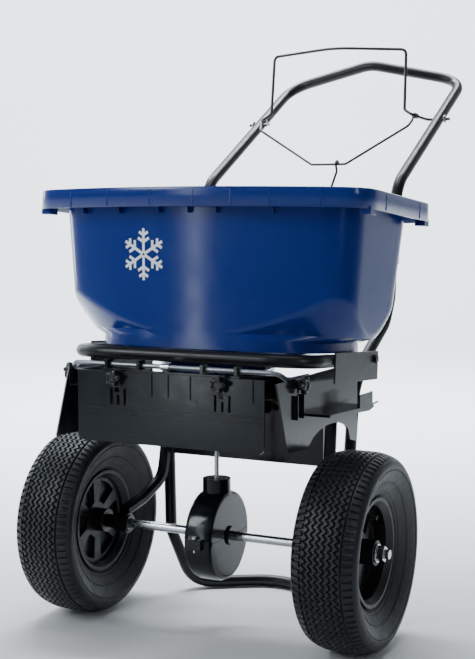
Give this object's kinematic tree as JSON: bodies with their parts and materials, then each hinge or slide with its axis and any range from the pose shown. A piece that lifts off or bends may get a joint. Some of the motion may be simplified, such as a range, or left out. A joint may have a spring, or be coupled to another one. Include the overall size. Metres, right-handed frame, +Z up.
{
  "type": "walk-behind salt spreader",
  "caption": "Walk-behind broadcast salt spreader: hopper on a bent-tube frame, pneumatic wheels, geared spinner, adjustable baffles and a squeeze-bail gate control.",
  "frame": {"origin": "on the ground, under the middle of the bounding box", "axes": "+X to the spreader's right-hand side as seen from the front, +Y from the front baffle towards the handle, +Z up"},
  "size_m": [0.632, 0.9794, 1.057],
  "materials": {
    "blue_plastic": "glossy moulded royal blue polyethylene",
    "black_paint": "satin black powder coat on steel tube",
    "black_plastic": "moulded black polypropylene",
    "rim_plastic": "matte black moulded wheel",
    "tyre_rubber": "black pneumatic tyre with ribbed tread",
    "valve_rubber": "black rubber stem",
    "zinc_steel": "bright zinc plated steel",
    "black_wire": "black coated steel wire",
    "nylon": "black moulded nylon bearing",
    "gear_nylon": "moulded gear"
  },
  "bodies": {
    "chassis": {"main_frame": "black_paint", "handle": "black_paint", "base_loop": "black_paint", "handle_sleeve_left": "black_paint", "handle_sleeve_right": "black_paint", "side_plate_left": "black_paint", "side_plate_right": "black_paint", "axle_strut_left": "black_paint", "axle_strut_right": "black_paint", "axle_bush_left": "nylon", "axle_bush_right": "nylon", "frame_spacer_left": "zinc_steel", "frame_spacer_right": "zinc_steel", "hopper": "blue_plastic", "hopper_base": "black_plastic", "gearbox_upper": "black_plastic", "gearbox_lower": "black_plastic", "gearbox_screw_front": "zinc_steel", "gearbox_screw_rear": "zinc_steel", "front_hanger": "black_plastic", "side_hanger_left": "black_plastic", "side_hanger_right": "black_plastic", "baffle_rod": "zinc_steel", "rod_clip": "zinc_steel", "rear_baffle": "black_plastic"},
    "drive_axle": {"axle": "zinc_steel", "crown_gear": "gear_nylon", "tyre_right": "tyre_rubber", "wheel_rim_right": "rim_plastic", "valve_stem_right": "valve_rubber", "hub_washer_left": "zinc_steel", "hub_washer_right": "zinc_steel", "hub_nut_left": "zinc_steel", "hub_nut_right": "zinc_steel", "axle_spacer_left": "black_plastic", "axle_spacer_right": "black_plastic"},
    "left_wheel": {"tyre_left": "tyre_rubber", "wheel_rim_left": "rim_plastic", "valve_stem_left": "valve_rubber"},
    "impeller_unit": {"impeller_shaft": "zinc_steel", "pinion": "gear_nylon", "impeller": "black_plastic", "agitator": "zinc_steel"},
    "bail_bar": {"bail": "black_wire", "bridle_clip_left": "black_plastic", "bridle_clip_right": "black_plastic", "push_nut_left": "zinc_steel", "push_nut_right": "zinc_steel"},
    "pull_link": {"bridle": "black_wire", "pull_rod": "black_wire"},
    "gate": {"gate_plate": "zinc_steel"},
    "front_panel": {"front_baffle": "black_plastic"},
    "left_panel": {"side_baffle_left": "black_plastic"},
    "right_panel": {"side_baffle_right": "black_plastic"},
    "front_knob_l": {"front_knob_left": "black_plastic"},
    "front_knob_r": {"front_knob_right": "black_plastic"},
    "side_knob_l": {"side_knob_left": "black_plastic"},
    "side_knob_r": {"side_knob_right": "black_plastic"}
  },
  "joints": [
    {"name": "axle_spin", "type": "hinge", "parent": "chassis", "child": "drive_axle", "pos_m": [0, -0.2848, 0.165], "axis": [1, 0, 0], "continuous": true},
    {"name": "left_wheel_spin", "type": "hinge", "parent": "chassis", "child": "left_wheel", "pos_m": [-0.2595, -0.2848, 0.165], "axis": [1, 0, 0], "continuous": true},
    {"name": "impeller_spin", "type": "hinge", "parent": "chassis", "child": "impeller_unit", "pos_m": [0, -0.2848, 0.385], "axis": [0, 0, 1], "continuous": true},
    {"name": "bail_swing", "type": "hinge", "parent": "chassis", "child": "bail_bar", "pos_m": [0, 0.3152, 0.909], "axis": [1, 0, 0], "range_deg": [-30, 0], "stiffness_Nm_per_rad": 1, "springref_deg": 20.05},
    {"name": "pull_link_swing", "type": "hinge", "parent": "bail_bar", "child": "pull_link", "pos_m": [0, 0.2552, 0.915], "axis": [1, 0, 0], "range_deg": [0, 38]},
    {"name": "gate_slide", "type": "slide", "parent": "chassis", "child": "gate", "axis": [0, 0.9971, -0.0755], "range_m": [0, 0.0775]},
    {"name": "front_panel_lift", "type": "slide", "parent": "chassis", "child": "front_panel", "axis": [0, 0, 1], "range_m": [0, 0.02]},
    {"name": "left_panel_lift", "type": "slide", "parent": "chassis", "child": "left_panel", "axis": [0, 0, 1], "range_m": [0, 0.009]},
    {"name": "right_panel_lift", "type": "slide", "parent": "chassis", "child": "right_panel", "axis": [0, 0, 1], "range_m": [0, 0.009]},
    {"name": "front_knob_l_turn", "type": "hinge", "parent": "chassis", "child": "front_knob_l", "pos_m": [-0.095, -0.4568, 0.452], "axis": [0, -1, 0], "continuous": true},
    {"name": "front_knob_r_turn", "type": "hinge", "parent": "chassis", "child": "front_knob_r", "pos_m": [0.095, -0.4568, 0.452], "axis": [0, -1, 0], "continuous": true},
    {"name": "side_knob_l_turn", "type": "hinge", "parent": "chassis", "child": "side_knob_l", "pos_m": [-0.2065, -0.4098, 0.452], "axis": [-1, 0, 0], "continuous": true},
    {"name": "side_knob_r_turn", "type": "hinge", "parent": "chassis", "child": "side_knob_r", "pos_m": [0.2065, -0.4098, 0.452], "axis": [1, 0, 0], "continuous": true}
  ],
  "couplings": [
    {"joint": "impeller_spin", "follows": "axle_spin", "ratio": -4.5},
    {"joint": "pull_link_swing", "follows": "bail_swing", "ratio": -1.2471},
    {"joint": "gate_slide", "follows": "bail_swing", "m_per_rad": -0.14697}
  ]
}
